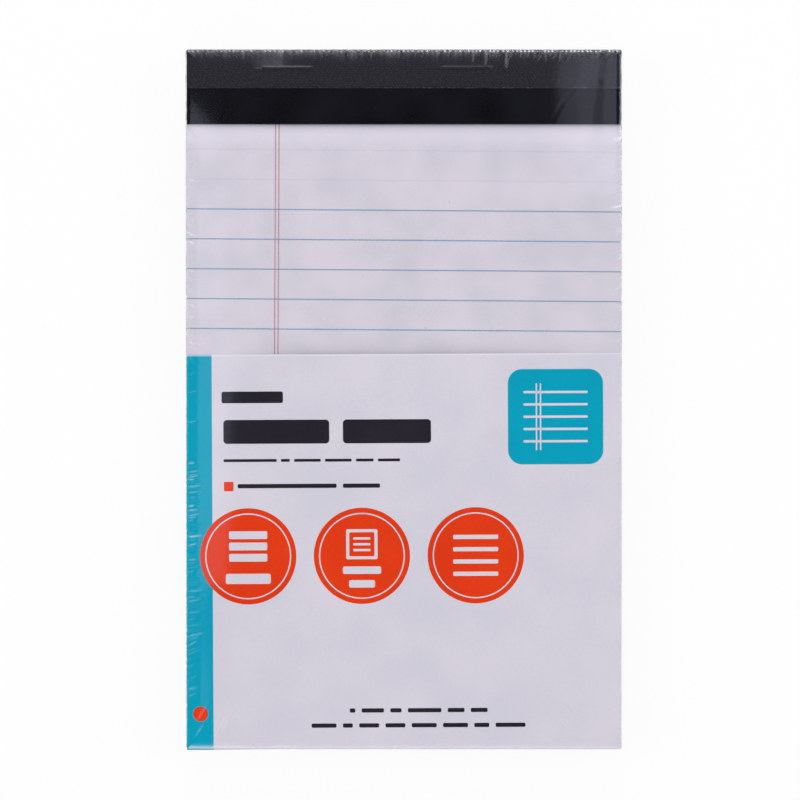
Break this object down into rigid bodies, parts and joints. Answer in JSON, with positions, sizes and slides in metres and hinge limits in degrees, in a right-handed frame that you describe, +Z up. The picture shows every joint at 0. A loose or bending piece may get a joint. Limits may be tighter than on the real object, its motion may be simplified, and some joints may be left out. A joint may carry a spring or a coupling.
{
  "type": "shrink-wrapped pack of three junior legal pads",
  "caption": "Stack of top-bound ruled writing pads with taped, stapled heads, a printed card folded round the foot and a clear shrink film over all.",
  "frame": {"origin": "middle of the pack's underside, where it lies on a table", "axes": "+Z up through the pack, +Y towards the bound head of the pads, +X towards the right edge as a reader sees the front"},
  "size_m": [0.129, 0.2054, 0.0186],
  "materials": {
    "clear_film": "gloss",
    "printed_card": "satin",
    "ruled_paper": "matte",
    "chipboard": "matte",
    "black_strip": "satin",
    "binding_cloth": "matte",
    "staple_wire": "satin"
  },
  "bodies": {
    "root": {"shrink_film": "clear_film", "label_card": "printed_card", "top_pad_sheets": "ruled_paper", "top_pad_board": "chipboard", "top_pad_header": "black_strip", "top_pad_tape": "binding_cloth", "top_pad_staple_left": "staple_wire", "top_pad_staple_right": "staple_wire", "middle_pad_sheets": "ruled_paper", "middle_pad_board": "chipboard", "middle_pad_header": "black_strip", "middle_pad_tape": "binding_cloth", "middle_pad_staple_left": "staple_wire", "middle_pad_staple_right": "staple_wire", "bottom_pad_sheets": "ruled_paper", "bottom_pad_board": "chipboard", "bottom_pad_header": "black_strip", "bottom_pad_tape": "binding_cloth", "bottom_pad_staple_left": "staple_wire", "bottom_pad_staple_right": "staple_wire"}
  },
  "joints": []
}
